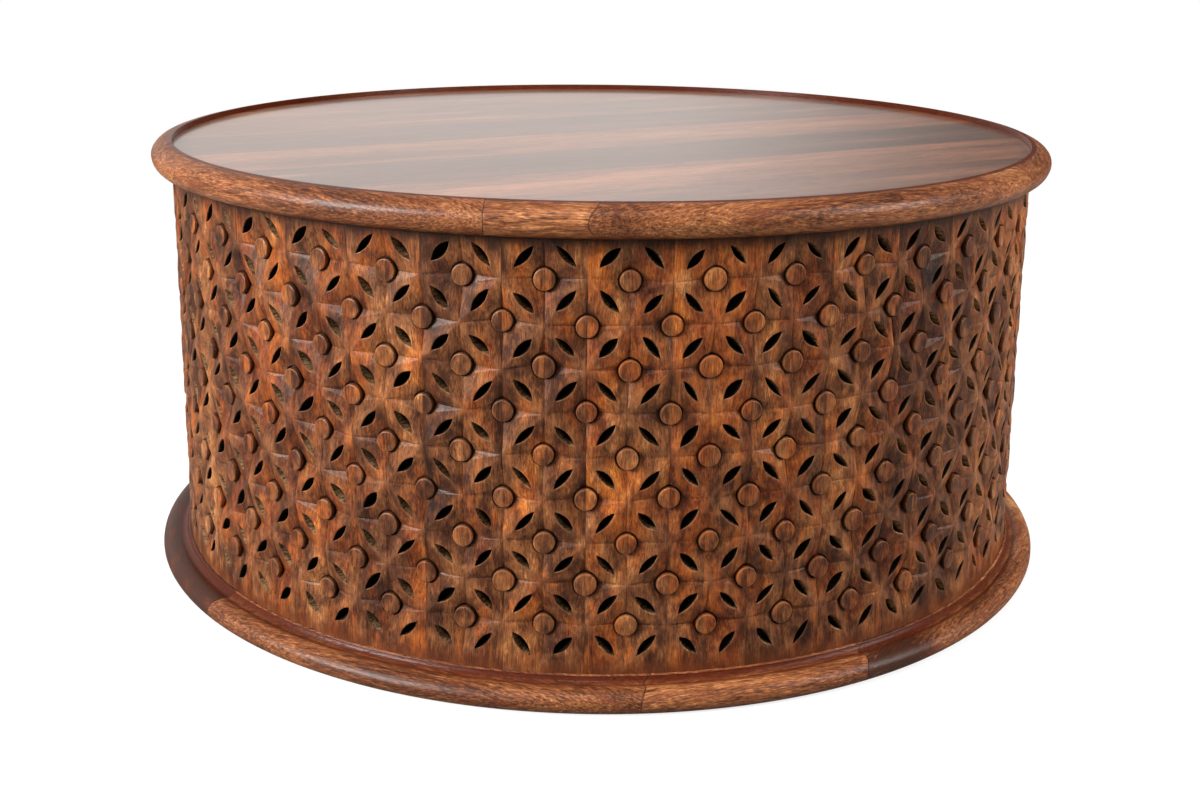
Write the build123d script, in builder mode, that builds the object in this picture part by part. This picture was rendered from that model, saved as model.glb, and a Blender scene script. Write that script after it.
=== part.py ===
from build123d import *
import os
from math import asin, atan2, ceil, cos, degrees, floor, radians, sin, sqrt, tan

os.makedirs("parts", exist_ok=True)

# A low round coffee table. Upright staves are glued edge to edge into a drum and carved with pierced
# slots and round buttons. The drum stands on a moulded base ring and carries a bullnose rim, with an
# edge-glued plank top sunk inside it.
# Millimetres. The origin is on the floor under the centre, +Z is up and the front faces -Y.
# A bearing is counted in degrees from the front, towards +X.

# ---- Driving dimensions ----
table_height = 427.0  # floor to the top of the rim

drum_radius = 438.0  # outside of the staves
stave_thickness = 16.0  # at the middle of its flat back
stave_count = 40
stave_bearing = -5.8  # middle of the first stave

rim_overhang = 19.0  # how far the rim stands out from the drum
rim_seat = 1.5  # how far its inner edge lies over the ends of the staves
rim_lap = 3.5  # how far its skirt hangs down round the drum
rim_flat = 4.5  # flat underside between the drum and the bullnose
rim_long_segments = 6
rim_short_angle = 11.8  # the short closing piece of the rim
rim_joint_bearing = 0.0  # the joint at the right end of that piece

panel_recess = 5.5  # top of the planks below the top of the rim
panel_thickness = 20.0
plank_width = 114.0
plank_direction = 28.5  # of the grain, from +X towards +Y
plank_joint_offset = 17.0  # the joint nearest the centre, across the grain

base_overhang = 28.0  # how far the base ring stands out from the drum
base_ledge = 32.0  # how far it reaches in under the drum
base_thickness = 25.5  # floor to the top of its bead
base_lap = 3.5  # how far the bead stands up round the staves
base_bead = 2.5  # width of the bead
base_bead_round = 1.4  # height of the bead's rounded shoulder
base_cove_depth = 1.4  # hollow between the bead and the roll
base_roll_reach = 14.0  # half width of the roll
base_roll_rise = 11.0  # half height of the roll
base_roll_drop = 1.5  # how much of the roll the flat underside cuts off
base_roll_start = 112.0  # angle on the roll at which the cove meets it
base_long_segments = 6
base_short_angle = 25.6
base_joint_bearing = 4.6  # the joint at the left end of the short piece

carving_rows = 10  # rows of slots, two to a button
carving_foot_margin = 9.2  # from the base ring to the lowest row of petals
carving_head_margin = 1.3  # from the highest row of petals to the stave's end
ground_depth = 6.0  # the sunk diamond at its middle, under the button
button_diameter = 18.0
button_drop = 0.2  # flat top of a button below the round of the drum
slot_length = 24.0
slot_width = 7.5

block_count = 8  # glue blocks under the top, and as many on the base ring
block_width = 60.0
block_depth = 28.0
block_height = 25.0
block_bearing = 22.5
batten_width = 50.0
batten_spacing = 360.0  # between the two battens' middles
batten_end_gap = 14.0

screw_radius = 2.0
screw_head_radius = 4.0
screw_bite = 14.0  # length that goes into the planks or the base ring
screw_point = 5.0
screw_recess = 1.2  # depth of the cross in its head
screw_recess_width = 0.9
screw_recess_length = 4.6

glue_line = 0.1  # between pieces that are glued edge to edge
seat_gap = 0.2  # round the drum, the planks and the blocks
screw_play = 0.1

# ---- Worked out from them ----
rim_thickness = panel_recess + panel_thickness + rim_lap
rim_inner_radius = drum_radius - rim_seat
rim_outer_radius = drum_radius + rim_overhang
panel_radius = rim_inner_radius - seat_gap
collar_radius = drum_radius + seat_gap  # inside of the rim's skirt and of the base ring's bead
drum_inner_radius = drum_radius - stave_thickness  # to the flat back of a stave
stave_foot = base_thickness - base_lap
stave_head = table_height - panel_recess - panel_thickness
stave_angle = 360 / stave_count
row_pitch = (stave_head - carving_head_margin - stave_foot - carving_foot_margin) / carving_rows
half_pitch = drum_radius * sin(radians(stave_angle / 2))
block_radius = drum_inner_radius - seat_gap
block_middle = block_radius - block_depth / 2
screw_length = block_height + screw_bite
grain = Plane.XY.rotated((0, 0, plank_direction))


def spin(angle):
    """Location turned about the vertical axis by an angle counted from +X."""
    return Location((0, 0, 0), (0, 0, angle))


def radial_plane(bearing):
    """Upright plane through the axis: x runs outwards at the bearing and y runs up."""
    turn = radians(bearing - 90)
    return Plane(origin=(0, 0, 0), x_dir=(cos(turn), sin(turn), 0), z_dir=(sin(turn), -cos(turn), 0))


def face_plane(radius, angle):
    """Upright plane square to the drum at an angle from +X, seen from outside with y up."""
    turn = radians(angle)
    outwards = (cos(turn), sin(turn), 0)
    return Plane(
        origin=(radius * outwards[0], radius * outwards[1], 0),
        x_dir=(-outwards[1], outwards[0], 0),
        z_dir=outwards,
    )


# ---- Staves ----
# A slot is a pointed lens, two equal arcs that meet at its tips.
with BuildSketch() as slot:
    with BuildLine():
        slot_edge = SagittaArc((-slot_length / 2, 0), (slot_length / 2, 0), slot_width / 2)
        mirror(slot_edge, about=Plane.XZ)
    make_face()

# The ground round a button is a sunk diamond: four flat facets that fall from the corners towards
# the button. Its side corners lie on the two seams, so the curve of the drum takes some of its depth.
apex_radius = drum_radius - ground_depth
seam_face = drum_radius * cos(radians(stave_angle / 2))
widening = half_pitch / (seam_face - apex_radius)
heightening = row_pitch / ground_depth
ground_reach = 1.5 * ground_depth  # the cutting pyramid stands out past the drum
side = widening * ground_reach
rise = heightening * ground_reach
mouth = [
    Vector(apex_radius + ground_reach, across, up)
    for across, up in ((side, 0), (0, rise), (-side, 0), (0, -rise))
]
apex = Vector(apex_radius, 0, 0)
facets = [Face(Wire.make_polygon([apex, mouth[i], mouth[i - 1]])) for i in range(4)]
pyramid = Solid(Shell(facets + [Face(Wire.make_polygon(mouth))]))

with BuildPart() as sunk_diamond:
    add(pyramid)
    with BuildSketch(face_plane(apex_radius, 0)):
        Circle(button_diameter / 2)
    extrude(amount=ground_depth - button_drop, mode=Mode.SUBTRACT)

stave_half_angle = (stave_angle - degrees(glue_line / drum_radius)) / 2
with BuildPart() as carved_stave:
    with BuildSketch(Plane.XY.offset(stave_foot)):
        with BuildLine():
            outside = CenterArc((0, 0), drum_radius, -stave_half_angle, 2 * stave_half_angle)
            back = drum_inner_radius * tan(radians(stave_half_angle))
            Polyline(outside @ 0, (drum_inner_radius, -back), (drum_inner_radius, back), outside @ 1)
        make_face()
    extrude(amount=stave_head - stave_foot)

    # Buttons stand on the middle line in odd rows and on the seams in even rows.
    grounds = []
    for row in range(1, carving_rows):
        height = stave_foot + carving_foot_margin + row * row_pitch
        angles = (0,) if row % 2 else (-stave_angle / 2, stave_angle / 2)
        grounds += [Location((0, 0, height), (0, 0, angle)) for angle in angles]
    with Locations(*grounds):
        add(sunk_diamond.part, mode=Mode.SUBTRACT)

    # The slots lean in turn left and right, so that they point to the corners of the diamonds.
    lean = degrees(atan2(row_pitch, half_pitch))
    for side in (-1, 1):
        with BuildSketch(face_plane(drum_radius, side * stave_angle / 4)):
            for row in range(carving_rows):
                height = stave_foot + carving_foot_margin + (row + 0.5) * row_pitch
                turn = lean * side * (-1) ** row
                with Locations(Location((0, height), turn)):
                    add(slot.sketch)
        extrude(amount=2 * stave_thickness, both=True, mode=Mode.SUBTRACT)

for number in range(stave_count):
    with BuildPart() as stave:
        with Locations(spin(stave_bearing - 90 + number * stave_angle)):
            add(carved_stave.part)
    stave.part.label = f"stave_{number + 1:02d}"
    export_step(stave.part, f"parts/{stave.part.label}.step")


# ---- Screws and where they go ----
def screw_body(play):
    """Countersunk screw with its head at the origin and its point up, larger by the play."""
    shank = screw_radius + play
    with BuildPart() as body:
        with BuildSketch(Plane.XZ):
            with BuildLine():
                Polyline(
                    (0, 0),
                    (screw_head_radius + play, 0),
                    (shank, screw_head_radius - screw_radius),
                    (shank, screw_length - screw_point + play),
                    (0, screw_length + play),
                    close=True,
                )
            make_face()
        revolve(axis=Axis.Z)
    return body.part


block_angles = [block_bearing - 90 + number * 360 / block_count for number in range(block_count)]
block_places = [
    (block_middle * cos(radians(angle)), block_middle * sin(radians(angle))) for angle in block_angles
]

# One batten screw goes into the middle of each plank that the batten crosses.
batten_reach = block_radius - block_depth - batten_end_gap
batten_half_length = sqrt(batten_reach**2 - ((batten_spacing + batten_width) / 2) ** 2)
first_plank = floor((-panel_radius - plank_joint_offset) / plank_width)
last_plank = ceil((panel_radius - plank_joint_offset) / plank_width)
plank_middles = [
    plank_joint_offset + (number + 0.5) * plank_width for number in range(first_plank, last_plank)
]
batten_screws = [
    grain.from_local_coords(Vector(side * batten_spacing / 2, middle, 0))
    for side in (-1, 1)
    for middle in plank_middles
    if abs(middle) < batten_half_length - batten_width / 2
]

head_screws = [Location((x, y, stave_head - block_height)) for x, y in block_places] + [
    Location((place.X, place.Y, stave_head - block_height)) for place in batten_screws
]
foot_screws = [Location((x, y, stave_foot + block_height), (180, 0, 0)) for x, y in block_places]
screw_pocket = screw_body(screw_play)

with BuildPart() as screw:
    add(screw_body(0))
    with BuildSketch():
        Rectangle(screw_recess_length, screw_recess_width)
        Rectangle(screw_recess_width, screw_recess_length)
    extrude(amount=screw_recess, mode=Mode.SUBTRACT)

with BuildPart() as screws:
    with Locations(*head_screws, *foot_screws):
        add(screw.part)
screws.part.label = "screws"
export_step(screws.part, "parts/screws.step")


# ---- Rim and base ring ----
def rim_section(bearing):
    """Bullnose rim: a half ellipse outside, a skirt and a step that sit over the drum."""
    middle = table_height - rim_thickness / 2
    skirt_radius = collar_radius + rim_flat
    underside = table_height - rim_thickness
    with BuildSketch(radial_plane(bearing)) as section:
        with BuildLine():
            crown = EllipticalCenterArc(
                (rim_inner_radius, middle),
                rim_outer_radius - rim_inner_radius,
                rim_thickness / 2,
                arc_size=90,
            )
            EllipticalCenterArc(
                (skirt_radius, middle),
                rim_outer_radius - skirt_radius,
                rim_thickness / 2,
                start_angle=-90,
                arc_size=90,
            )
            Polyline(
                crown @ 1,
                (rim_inner_radius, stave_head),
                (collar_radius, stave_head),
                (collar_radius, underside),
                (skirt_radius, underside),
            )
        make_face()
    return section.sketch


def base_section(bearing):
    """Base ring: a roll outside, a cove, and a bead that stands up round the staves."""
    roll_radius = drum_radius + base_overhang - base_roll_reach
    roll_height = base_roll_rise - base_roll_drop
    roll_end = -degrees(asin(roll_height / base_roll_rise))
    bead_foot = base_thickness - base_bead_round
    ledge_radius = drum_inner_radius - base_ledge
    with BuildSketch(radial_plane(bearing)) as section:
        with BuildLine():
            roll = EllipticalCenterArc(
                (roll_radius, roll_height),
                base_roll_reach,
                base_roll_rise,
                start_angle=roll_end,
                arc_size=base_roll_start - roll_end,
            )
            bead = EllipticalCenterArc(
                (collar_radius, bead_foot), base_bead, base_bead_round, arc_size=90
            )
            SagittaArc(bead @ 0, roll @ 1, -base_cove_depth)
            Polyline(
                bead @ 1,
                (collar_radius, stave_foot),
                (ledge_radius, stave_foot),
                (ledge_radius, 0),
                roll @ 0,
            )
        make_face()
    return section.sketch


def ring_bearings(joint, short_angle, long_segments, short_is_left):
    """Start and sweep of each segment: the short closing piece first, then the equal long ones."""
    first = joint - short_angle if short_is_left else joint
    sweep = (360 - short_angle) / long_segments
    starts = [first + short_angle + number * sweep for number in range(long_segments)]
    return [(first, short_angle)] + [(start, sweep) for start in starts]


rim_bearings = ring_bearings(rim_joint_bearing, rim_short_angle, rim_long_segments, True)
base_bearings = ring_bearings(base_joint_bearing, base_short_angle, base_long_segments, False)
joint_angle = degrees(glue_line / drum_radius)
for name, section, bearings, holes in (
    ("rim_segment", rim_section, rim_bearings, []),
    ("base_segment", base_section, base_bearings, foot_screws),
):
    for number, (start, sweep) in enumerate(bearings):
        with BuildPart() as segment:
            add(section(start + joint_angle / 2))
            revolve(axis=Axis.Z, revolution_arc=sweep - joint_angle)
            if holes:
                with Locations(*holes):
                    add(screw_pocket, mode=Mode.SUBTRACT)
        segment.part.label = f"{name}_{number + 1}"
        export_step(segment.part, f"parts/{segment.part.label}.step")


# ---- Planks ----
with BuildPart() as top_planks:
    with BuildSketch(grain.offset(stave_head)):
        with Locations(*[(0, middle) for middle in plank_middles]):
            Rectangle(2 * panel_radius, plank_width - glue_line)
        Circle(panel_radius, mode=Mode.INTERSECT)
    extrude(amount=panel_thickness)
    with Locations(*head_screws):
        add(screw_pocket, mode=Mode.SUBTRACT)
top_planks.part.label = "top_planks"
export_step(top_planks.part, "parts/top_planks.step")

# ---- Glue blocks and battens ----
for name, floor_height, holes in (
    ("head_blocks", stave_head - block_height, head_screws),
    ("foot_blocks", stave_foot, foot_screws),
):
    with BuildPart() as blocks:
        with BuildSketch(Plane.XY.offset(floor_height)):
            with Locations(*[Location((x, y), angle) for (x, y), angle in zip(block_places, block_angles)]):
                Rectangle(block_depth, block_width)
            Circle(block_radius, mode=Mode.INTERSECT)
        extrude(amount=block_height)
        with Locations(*holes):
            add(screw_pocket, mode=Mode.SUBTRACT)
    blocks.part.label = name
    export_step(blocks.part, f"parts/{name}.step")

with BuildPart() as battens:
    with BuildSketch(grain.offset(stave_head - block_height)):
        with Locations((-batten_spacing / 2, 0), (batten_spacing / 2, 0)):
            Rectangle(batten_width, 2 * batten_half_length)
    extrude(amount=block_height)
    with Locations(*head_screws):
        add(screw_pocket, mode=Mode.SUBTRACT)
battens.part.label = "battens"
export_step(battens.part, "parts/battens.step")
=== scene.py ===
from math import atan2, cos, pi, radians, sin

import bpy
import numpy as np
from mathutils import Matrix


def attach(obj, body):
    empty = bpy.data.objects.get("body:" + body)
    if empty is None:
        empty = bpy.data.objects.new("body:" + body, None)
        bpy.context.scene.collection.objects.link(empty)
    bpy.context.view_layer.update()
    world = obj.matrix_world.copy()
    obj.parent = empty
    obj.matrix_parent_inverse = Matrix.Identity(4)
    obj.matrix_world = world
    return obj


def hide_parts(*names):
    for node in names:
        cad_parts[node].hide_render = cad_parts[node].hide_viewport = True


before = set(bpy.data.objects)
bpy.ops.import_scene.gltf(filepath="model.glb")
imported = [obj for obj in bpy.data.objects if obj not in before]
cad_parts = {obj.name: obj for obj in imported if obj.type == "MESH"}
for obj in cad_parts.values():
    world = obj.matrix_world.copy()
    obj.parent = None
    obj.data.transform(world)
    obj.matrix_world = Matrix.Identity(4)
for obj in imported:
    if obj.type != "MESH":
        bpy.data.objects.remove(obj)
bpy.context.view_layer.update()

# Lengths are in metres and turns in radians, unless a line says otherwise.

# ---- Staves ----
# Forty upright boards of dark stained hardwood, glued edge to edge into a drum and then carved by
# hand: sunk diamonds with a round button left standing in each, and pointed slots cut through the
# ribs between them. Wear has rubbed the stain off the ribs and the buttons.
stave_names = sorted(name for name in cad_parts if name.startswith("stave_"))
stave_count = len(stave_names)


def corners_of(node):
    """Every corner of a CAD node's mesh, one row of x, y, z each."""
    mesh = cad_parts[node].data
    rows = np.empty(3 * len(mesh.vertices), np.float32)
    mesh.vertices.foreach_get("co", rows)
    return rows.reshape(-1, 3).astype(float)


def sweep_of(node):
    """Lowest and highest angle of a node about the table's axis, counted from +X."""
    rows = corners_of(node)
    middle = atan2(rows[:, 1].mean(), rows[:, 0].mean())
    turn = np.arctan2(rows[:, 1], rows[:, 0]) - middle
    turn = (turn + pi) % (2 * pi) - pi
    return middle + turn.min(), middle + turn.max()


first_stave = corners_of(stave_names[0])
first_sweep = sweep_of(stave_names[0])
drum_radius = np.hypot(first_stave[:, 0], first_stave[:, 1]).max()
half_width = drum_radius * (first_sweep[1] - first_sweep[0]) / 2
first_middle = sum(first_sweep) / 2
back_distance = (first_stave[:, 0] * cos(first_middle) + first_stave[:, 1] * sin(first_middle)).min()
stave_foot = first_stave[:, 2].min()
stave_head = first_stave[:, 2].max()

carving_rows = 10
foot_margin = 0.0092  # plain wood under the lowest crossing
head_margin = 0.0013  # and over the highest
row_height = np.linspace(stave_foot + foot_margin, stave_head - head_margin, carving_rows + 1)
ground_depth = 0.0060
button_radius = 0.0090
slot_half_length = 0.0120
slot_half_width = 0.0040

# How far the carver's hand strayed. Columns 0, 2, 4 are the middle lines of the staves and 1, 3, 5
# the seams between them, where two staves share their crossings and buttons.
carver = np.random.default_rng(41)
crossing_grid = (2 * stave_count, carving_rows + 1)
slot_grid = (stave_count, 2, carving_rows)
deepest_groove = 0.0011
crossing_shift = carver.normal(0, 0.0009, (*crossing_grid, 2)).clip(-0.002, 0.002)
crossing_shift[1::2, :, 0] = 0
crossing_shift[:, -1] = crossing_shift[:, -1].clip(-0.0006, 0.0006)
crossing_depth = ground_depth * carver.uniform(1.20, 1.60, crossing_grid)
crossing_radius = button_radius * carver.uniform(0.93, 1.06, crossing_grid)
crossing_drop = carver.uniform(0.0002, 0.0012, crossing_grid)  # of the button's top
crossing_tilt = carver.normal(0, 0.035, (*crossing_grid, 2))  # of the button's top, as slopes
crossing_groove = carver.uniform(0, deepest_groove, crossing_grid)  # cut round one side of the button,
crossing_groove_side = carver.normal(-0.6, 0.8, crossing_grid)  # in this direction from its centre
crossing_valley = carver.uniform(0.0001, 0.0005, crossing_grid)  # cut along the bottom of each V-groove
rib_fall = carver.uniform(0.68, 0.92, crossing_grid)
groove_fall = carver.uniform(1.45, 2.2, crossing_grid)
slot_shift = carver.normal(0, 0.0007, (*slot_grid, 2)).clip(-0.0015, 0.0015)
slot_turn = carver.normal(0, radians(2.5), slot_grid)
slot_stretch = carver.uniform(0.92, 1.07, slot_grid)
slot_bulge = slot_half_width * carver.uniform(0.72, 1.25, (*slot_grid, 2))
planing_depth = 0.00025
wave_turns = np.array([3, 7, 11, 17, 29])  # waves round the drum
wave_rises = np.array([19.0, -31.0, 47.0, -13.0, 23.0])  # waves in a metre of height
wave_starts = carver.uniform(0, 2 * pi, 5)
chisel_depth = 0.00014
chisel_wander = 0.004  # how far the chisel's marks stray sideways

tip_steps = 3  # from a crossing to the tip of a slot
arc_steps = 10  # along one edge of a slot
ridge_points = 2 * tip_steps + arc_steps + 1


def ridges(stave, crossings):
    """Both lips of each ridge of a stave, as side, row, lip (lower, upper), point, (across, up).

    A ridge runs straight from a crossing on the stave's middle line to one on its seam. Between the
    tips of its slot the two lips part, each by a parabola as high as half the slot is wide."""
    row = np.arange(carving_rows)
    even, odd = row + row % 2, row + 1 - row % 2
    start = np.stack([crossings[1, even]] * 2)
    end = np.stack([crossings[0, odd], crossings[2, odd]])
    lean = np.arctan2(end[..., 1] - start[..., 1], end[..., 0] - start[..., 0]) + slot_turn[stave]
    along = np.stack([np.cos(lean), np.sin(lean)], -1)
    upward = np.stack([-along[..., 1], along[..., 0]], -1) * np.sign(along[..., :1])
    half = (slot_half_length * slot_stretch[stave])[..., None]
    middle = (start + end) / 2 + slot_shift[stave]
    way = np.linspace(-1, 1, arc_steps + 1)[:, None]
    lips = []
    for lip, direction in ((0, -1), (1, 1)):
        bulge = direction * slot_bulge[stave][..., lip, None, None] * (1 - way**2)
        arc = (middle[..., None, :] + half[..., None] * way * along[..., None, :]
               + bulge * upward[..., None, :])
        share = np.arange(tip_steps)[:, None] / tip_steps
        lead = start[..., None, :] + share * (arc[..., :1, :] - start[..., None, :])
        tail = end[..., None, :] + share[::-1] * (arc[..., -1:, :] - end[..., None, :])
        lips.append(np.concatenate([lead, arc, tail], -2))
    return np.stack(lips, 2)


def unevenness(turn, up):
    """Depth of the hand-planed waves on the drum: crossed sines of the angle and the height."""
    phase = turn[..., None] * wave_turns + up[..., None] * wave_rises * 2 * pi + wave_starts
    return planing_depth * (1 + np.sin(phase).mean(-1))


def chisel_marks(turn, up):
    """Depth of the small hollows a chisel leaves: crossed sines, each wave 9 to 14 mm long, bent by
    one another. Numbers in the sines are radians to the metre."""
    across = turn * drum_radius
    bent = across + chisel_wander * np.sin(up * 210)
    height = up + chisel_wander * np.sin(across * 190)
    waves = np.sin(bent * 520) + np.sin(height * 430 + bent * 130) + np.sin(bent * 330 - height * 610)
    return chisel_depth * waves


def tiles(grid, keep=None, inward=False):
    """Triangles of a grid of points, as rows of three points: each square is cut along a diagonal.

    keep says which squares are there, and inward turns them to face the other way."""
    a, b = grid[..., :-1, :-1, :], grid[..., 1:, :-1, :]
    d, c = grid[..., :-1, 1:, :], grid[..., 1:, 1:, :]
    pairs = np.stack([np.stack([a, b, c], -2), np.stack([a, c, d], -2)], -3)
    if keep is not None:
        pairs = pairs[np.broadcast_to(keep, pairs.shape[:-3])]
    triangles = pairs.reshape(-1, 3, grid.shape[-1])
    return triangles[:, ::-1] if inward else triangles


def cross(a, b):
    """Cross product of two flat vectors, a number."""
    return a[..., 0] * b[..., 1] - a[..., 1] * b[..., 0]


wall_levels = (0.0011, 0.005, 0.010)  # depths below the lip, on the way to the back
slot_taper = 0.97  # how much of its width a slot loses on the way in
taper_start, taper_length = 0.003, 0.009  # depth below the lip, and how much deeper it goes on
clean_lip = 0.0008  # of the wall, before the stain inside begins
slot_shade = 1.2  # painted shade in the slots that rise to the right: added to the sunk mark, in which a ground of full depth counts as 1
mark_names = ("sunk", "worn", "cut", "crevice")  # of a point, after its across, up and radius
sunk_mark, wear_and_highlight_mark, crevice_shade_mark = 0, 1, 3
back_marks = (3, 0, 1, 0)  # of a stave's back: sawn, and as dark with painted shade as the depth of a slot


def down_the_slot(front, back_radius, line):
    """Rings from the lip of a slot to the stave's back, with the wall marked as cut and as sunk.

    Further in, the wall leans by the taper towards its place on the straight line of the ridge. The
    slots that rise to the right count as sunk more: painted shade, which darkens their walls."""
    rings = np.stack([front] * (len(wall_levels) + 2), -3)
    for number, level in enumerate(wall_levels, 1):
        rings[..., number, :, 2] -= level
    rings[..., -1, :, 2] = back_radius
    sunk = front[..., None, :, 2] - rings[..., 2]
    lean = ((sunk - taper_start) / taper_length).clip(0, 1)[..., None] * slot_taper
    rings[..., :2] += lean * (line[..., None, :, :] - rings[..., :2])
    slope = np.gradient(line, axis=-2)
    # Painted shade: the walls of the slots that rise to the right are marked darker.
    stained = (slope[..., 0] * slope[..., 1] > 0)[..., None, :] * (sunk > clean_lip)
    rings[..., 3] = sunk / ground_depth + slot_shade * stained
    rings[..., 1:, :, 4:] = (0, 1, 0)
    return rings


def straightened(lips):
    """The lips' points set square on to the chord between the tips of the slot."""
    chord = lips[..., -1 - tip_steps, :] - lips[..., tip_steps, :]
    chord /= np.linalg.norm(chord, axis=-1, keepdims=True)
    offset = lips - lips[..., tip_steps, None, :]
    return lips - offset + (offset * chord[..., None, :]).sum(-1, keepdims=True) * chord[..., None, :]


def back_radius_at(across):
    """Distance from the axis of the stave's flat back."""
    return back_distance / np.cos(across / drum_radius)


ridge_level, crossing_level = 0.014, 0.060  # shares of the depth that wear has taken off
crossing_reach = 0.0050  # how far round a crossing it has
softness = 0.0003  # of the bends of the ground
button_wobble = 0.018  # share of the radius by which a button is out of round
button_wear = 0.0004  # off the edge of its top
moat_width = 0.0020
moat_cut = 0.0005  # below the ground there
moat_least = np.array([0.52, 0.52, 0.40])[:, None]  # shares of the depth: the button's foot,
moat_most = np.array([0.66, 0.66, 0.72])[:, None]  # the moat's floor and its outer edge
ridge_width = 0.0012
lip_wear = 0.00035  # off the lips of the slots
ridge_wear = 0.8  # worn mark of a ridge, which fades to nothing
worn_down_to = 0.26  # at this share of the depth


def sunk_diamonds(column_index, centre_rows, centres, lips, turn_at):
    """Triangles of the ground, the button, the slot walls and the flat back of one kind of diamond.

    Each diamond is a net of rays from its button's centre to the ridges round it and rings between
    them. A place in a quarter is so far to the one crossing and so far to the other, as shares. The
    rib falls in from its ridge by rib_fall times what is left of the two shares. A V-groove runs from
    the button to each crossing, deepest at the button: its side rises groove_fall times as fast as
    its bottom line. The deeper of the two counts, and all is level near a ridge and at a crossing."""
    depth, radius, drop, groove, groove_side, rib, steep = (
        values[column_index, centre_rows][:, None] for values in (
            crossing_depth, crossing_radius, crossing_drop, crossing_groove, crossing_groove_side,
            rib_fall, groove_fall,
        )
    )
    tilt = crossing_tilt[column_index, centre_rows]
    valley = crossing_valley[column_index, centre_rows][:, None, None]

    out = lips - centres[:, None, None]
    spokes = out[:, :, [0, -1]]
    span = cross(spokes[:, :, 0], spokes[:, :, 1])[:, :, None]
    shares = np.stack([cross(out, spokes[:, :, 1:]), cross(spokes[:, :, :1], out)]) / span
    far, near = shares.max(0), shares.min(0)
    to_crossing = np.minimum(
        np.linalg.norm(lips - lips[:, :, :1], axis=-1), np.linalg.norm(lips - lips[:, :, -1:], axis=-1)
    )
    level = ridge_level + crossing_level * np.exp(-((to_crossing / crossing_reach) ** 2))
    in_slot = np.zeros(lips.shape[:3])
    in_slot[:, :, tip_steps + 1:tip_steps + arc_steps] = 1

    def join(blocks):
        """The ridges one after another round the diamond, each shared corner once."""
        parts = [blocks[:, number, :-1] for number in range(blocks.shape[1])]
        return np.concatenate([*parts, blocks[:, -1, -1:]], 1)

    line = join(straightened(lips))
    rim, far, near, level, in_slot = join(lips), join(far), join(near), join(level), join(in_slot)
    meeting = np.arange(rim.shape[1]) % (ridge_points - 1) == 0  # rays that end at a crossing
    ray = rim - centres[:, None]
    length = np.linalg.norm(ray, axis=-1)
    direction = np.arctan2(ray[..., 1], ray[..., 0])
    button = radius * (1 + button_wobble * np.sin(2 * direction + groove_side))
    gouge = button + moat_width
    edge = length - ridge_width
    bend = length * (1 - rib) / (far + steep * near - rib * (far + near))
    bend = np.clip(bend, gouge + 0.0004, edge - 0.0001)

    # Eleven rings: the button's centre, shoulder and edge (0 to 2), its foot, the moat's floor and
    # outer edge (3 to 5), the slope with its bend at 7, the ridge's edge and the ridge (9 and 10).
    distance = np.stack([
        0 * length, button - 0.0011, button - 0.0002, button + 0.0003, button + 0.0011, gouge,
        (gouge + bend) / 2, bend, (bend + edge) / 2, edge, length,
    ], 1)
    flat = centres[:, None, None] + ray[:, None] * (distance / length[:, None])[..., None]
    way = distance / length[:, None]
    rise = np.maximum(
        rib[:, None] * (1 - way * (far + near)[:, None]), 1 - way * (far + steep * near)[:, None]
    ) - level[:, None]
    least = -level[:, None]
    ground = depth[..., None] * (
        rise + np.sqrt(rise**2 + softness) - least - np.sqrt(least**2 + softness)
    ).clip(0) / 2
    groove_here = groove * (0.5 + 0.5 * np.cos(direction - groove_side)) ** 1.5
    shallowest, deepest = depth[..., None] * moat_least, depth[..., None] * moat_most
    ground[:, 3:6] = np.clip(ground[:, 3:6], shallowest, deepest)
    ground[:, 3:5] += moat_cut + groove_here[:, None] * np.array([0.5, 1.0])[:, None]
    ground[:, 4:9] += valley * meeting * np.array([1, 1, 0.8, 0.2, 0])[:, None]
    chiselled = np.array([0, 0, 0, 0.5, 0.6, 0.6, 0.5, 0.3, 1, 0.3, 0])[:, None]
    ground += chisel_marks(turn_at(flat[..., 0]), flat[..., 1]) * chiselled * rise.clip(0, 1) ** 0.5
    ground[:, -1] += lip_wear * in_slot
    offset = flat - centres[:, None, None]
    top = drop[..., None] + (offset * tilt[:, None, None]).sum(-1)
    ground[:, :3] = np.maximum(top[:, :3], 0)
    ground[:, 2] += button_wear

    marks = np.zeros((*ground.shape, len(mark_names)))
    marks[..., sunk_mark] = ground / ground_depth
    marks[:, :3, :, wear_and_highlight_mark] = np.array([0.35, 0.45, 1.4])[:, None]
    rubbed = (1 - ground / (worn_down_to * depth[..., None])).clip(0)
    marks[:, 6:, :, wear_and_highlight_mark] = ridge_wear * rubbed[:, 6:]
    # Painted highlight: the lower lips of the slots, which face up into the light, are marked paler on
    # top of the ridge's wear.
    marks[:, -1, :, wear_and_highlight_mark] += in_slot * (ray[..., 1] > 0)
    # Painted shade: dark marks at the button's foot and moat, more on the side of its deeper groove, and
    # in the V-grooves near the crossings.
    marks[:, 3:6, :, crevice_shade_mark] = np.array([1.0, 0.7, 0.1])[:, None]
    marks[:, 4, :, crevice_shade_mark] += 0.6 * groove_here / deepest_groove
    marks[:, 5:8, :, crevice_shade_mark] += 0.35 * meeting * np.array([1, 1, 0.4])[:, None]
    depth_here = ground + unevenness(turn_at(flat[..., 0]), flat[..., 1])
    front = np.concatenate([flat, (drum_radius - depth_here)[..., None], marks], -1)
    back_radius = back_radius_at(front[:, -1, :, 0])
    wall = down_the_slot(front[:, -1], back_radius, line)
    open_squares = np.maximum(in_slot[:, 1:], in_slot[:, :-1]).astype(bool)[:, None]
    back = np.stack([front[:, 0], wall[:, -1]], 1)
    back[..., 2] = back_radius_at(back[..., 0])
    back[..., 3:] = back_marks
    return front, tiles(front), tiles(wall, open_squares), back


plain_lines = 4  # of points over the plain wood at the foot and at the head


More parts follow.
